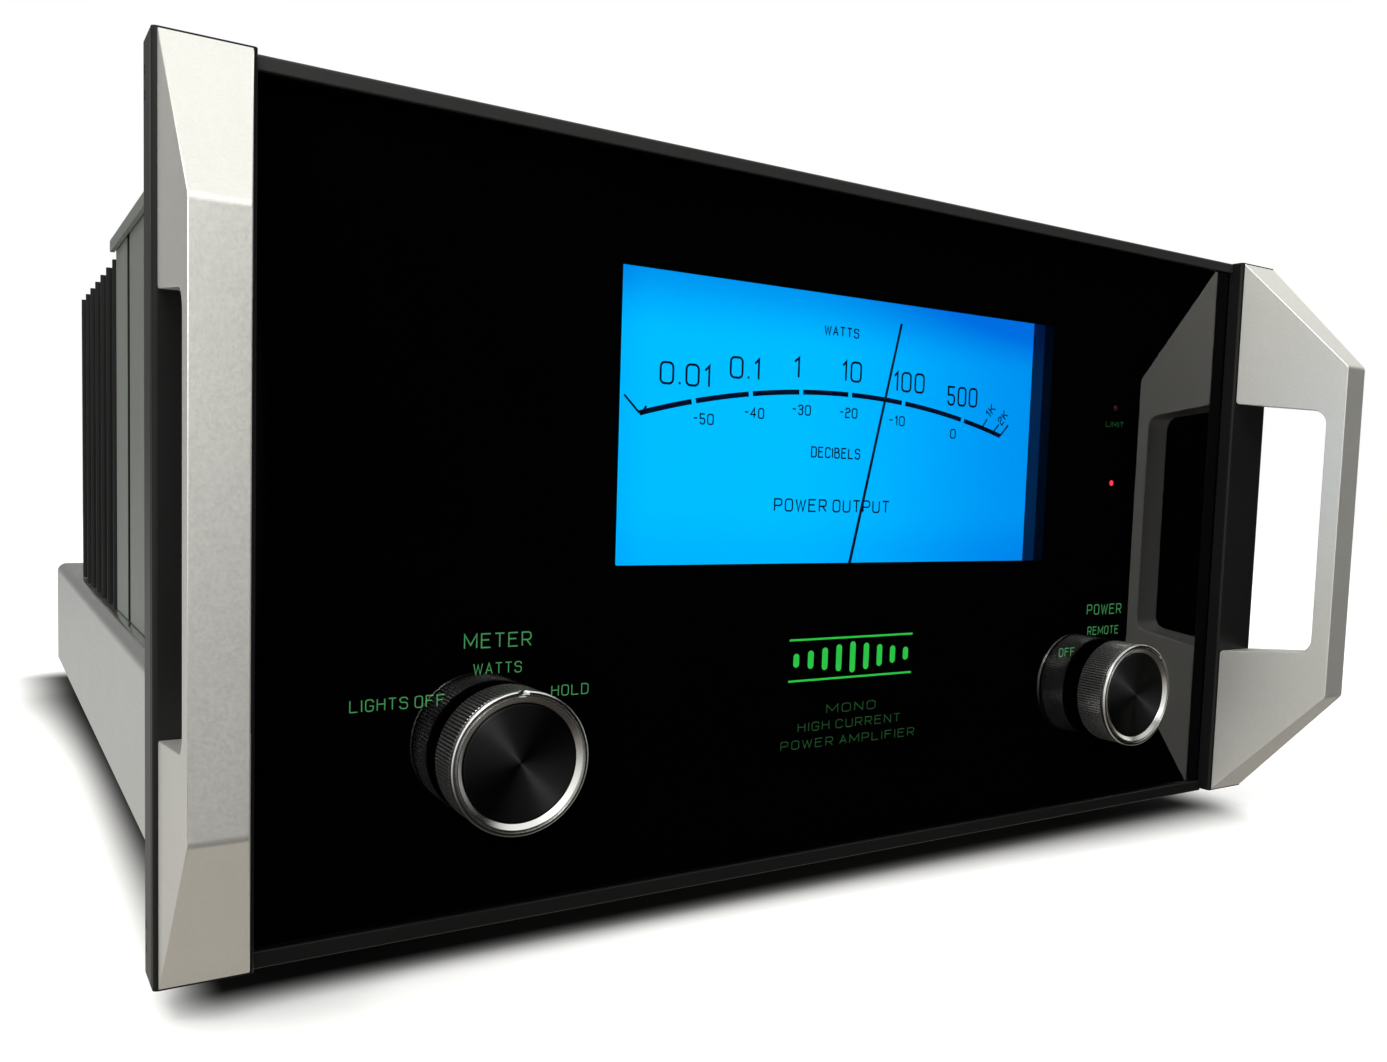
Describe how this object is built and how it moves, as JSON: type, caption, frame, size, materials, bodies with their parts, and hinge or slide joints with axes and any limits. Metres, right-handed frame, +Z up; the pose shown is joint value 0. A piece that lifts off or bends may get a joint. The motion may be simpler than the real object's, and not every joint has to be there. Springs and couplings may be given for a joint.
{
  "type": "power amplifier",
  "caption": "Large mono audio power amplifier with a glass face, lit needle meter, two rotary knobs, cast handles, side heatsinks and rear transformer cans.",
  "frame": {"origin": "middle of the overall footprint, at the level of the undersides of the feet", "axes": "+X to the right as seen from the front, +Y from the face towards the rear, +Z up"},
  "size_m": [0.4444, 0.559, 0.24],
  "materials": {
    "cast_aluminium": "bead-blasted satin",
    "satin_black": "satin black",
    "black_glass": "polished, back-painted black with a clear meter window",
    "clear_guide": "clear acrylic, edge lit",
    "plated_steel": "zinc plated",
    "polished_steel": "polished stainless, pale",
    "grey_paint": "satin grey",
    "black_paint": "fine textured black",
    "black_anodised": "black anodised",
    "bright_ring": "turned and polished",
    "black_plastic": "moulded",
    "blue_dial": "translucent, lit blue from behind",
    "navy_plastic": "dark navy",
    "red_lens": "clear red lens",
    "circuit_board": "green solder mask",
    "capacitor_sleeve": "shrink sleeve",
    "core_steel": "varnished laminations and windings",
    "rubber": "moulded",
    "gold_plate": "gold plated",
    "brass": "turned"
  },
  "bodies": {
    "casing": {"balanced_input": "black_plastic", "bottom_cover": "plated_steel", "bottom_trim": "satin_black", "chassis_shell": "polished_steel", "compartment_back": "grey_paint", "filter_capacitor_1": "capacitor_sleeve", "filter_capacitor_2": "capacitor_sleeve", "filter_capacitor_3": "capacitor_sleeve", "filter_capacitor_4": "capacitor_sleeve", "front_cover": "grey_paint", "front_glass": "black_glass", "front_left_foot": "rubber", "front_right_foot": "rubber", "front_subpanel": "plated_steel", "left_end_plate": "satin_black", "left_handle": "cast_aluminium", "left_heatsink": "black_anodised", "left_output_board": "circuit_board", "left_output_stage_cover": "black_paint", "left_side_panel": "grey_paint", "legend_light_guide": "clear_guide", "lower_indicator": "red_lens", "main_circuit_board": "circuit_board", "mains_inlet": "black_plastic", "meter_dial": "blue_dial", "meter_housing": "navy_plastic", "meter_lamp_board": "circuit_board", "meter_movement": "black_plastic", "meter_selector_switch": "black_plastic", "output_transformer": "core_steel", "output_transformer_cover": "black_paint", "phono_input": "gold_plate", "power_switch": "black_plastic", "power_transformer": "core_steel", "power_transformer_cover": "black_paint", "rear_left_foot": "rubber", "rear_panel": "black_paint", "rear_right_foot": "rubber", "right_end_plate": "satin_black", "right_handle": "cast_aluminium", "right_heatsink": "black_anodised", "right_output_board": "circuit_board", "right_output_stage_cover": "black_paint", "right_side_panel": "grey_paint", "speaker_terminal_block": "black_plastic", "top_trim": "satin_black", "upper_indicator": "red_lens"},
    "meter_selector": {"meter_selector_shaft": "brass", "meter_selector_knob": "black_anodised", "meter_selector_knob_ring": "bright_ring", "meter_selector_knob_face": "black_anodised"},
    "power_control": {"power_shaft": "brass", "power_knob": "black_anodised", "power_knob_ring": "bright_ring", "power_knob_face": "black_anodised"},
    "needle": {"meter_needle": "navy_plastic"},
    "terminal_cap_1": {"speaker_terminal_cap_1": "gold_plate"},
    "terminal_cap_2": {"speaker_terminal_cap_2": "gold_plate"},
    "terminal_cap_3": {"speaker_terminal_cap_3": "gold_plate"},
    "terminal_cap_4": {"speaker_terminal_cap_4": "gold_plate"}
  },
  "joints": [
    {"name": "meter_selector_turn", "type": "hinge", "parent": "casing", "child": "meter_selector", "pos_m": [-0.1315, -0.2363, 0.0605], "axis": [0, -1, 0], "range_deg": [-45, 45]},
    {"name": "power_turn", "type": "hinge", "parent": "casing", "child": "power_control", "pos_m": [0.1315, -0.2363, 0.0605], "axis": [0, -1, 0], "range_deg": [0, 90]},
    {"name": "needle_swing", "type": "hinge", "parent": "casing", "child": "needle", "pos_m": [0, -0.2178, 0.0967], "axis": [0, -1, 0], "range_deg": [-38, 64], "stiffness_Nm_per_rad": 0.005},
    {"name": "terminal_cap_1_turn", "type": "hinge", "parent": "casing", "child": "terminal_cap_1", "pos_m": [-0.155, 0.2737, 0.049], "axis": [0, 1, 0], "range_deg": [-990, 0]},
    {"name": "terminal_cap_2_turn", "type": "hinge", "parent": "casing", "child": "terminal_cap_2", "pos_m": [-0.127, 0.2737, 0.049], "axis": [0, 1, 0], "range_deg": [-990, 0]},
    {"name": "terminal_cap_3_turn", "type": "hinge", "parent": "casing", "child": "terminal_cap_3", "pos_m": [-0.099, 0.2737, 0.049], "axis": [0, 1, 0], "range_deg": [-990, 0]},
    {"name": "terminal_cap_4_turn", "type": "hinge", "parent": "casing", "child": "terminal_cap_4", "pos_m": [-0.071, 0.2737, 0.049], "axis": [0, 1, 0], "range_deg": [-990, 0]}
  ]
}
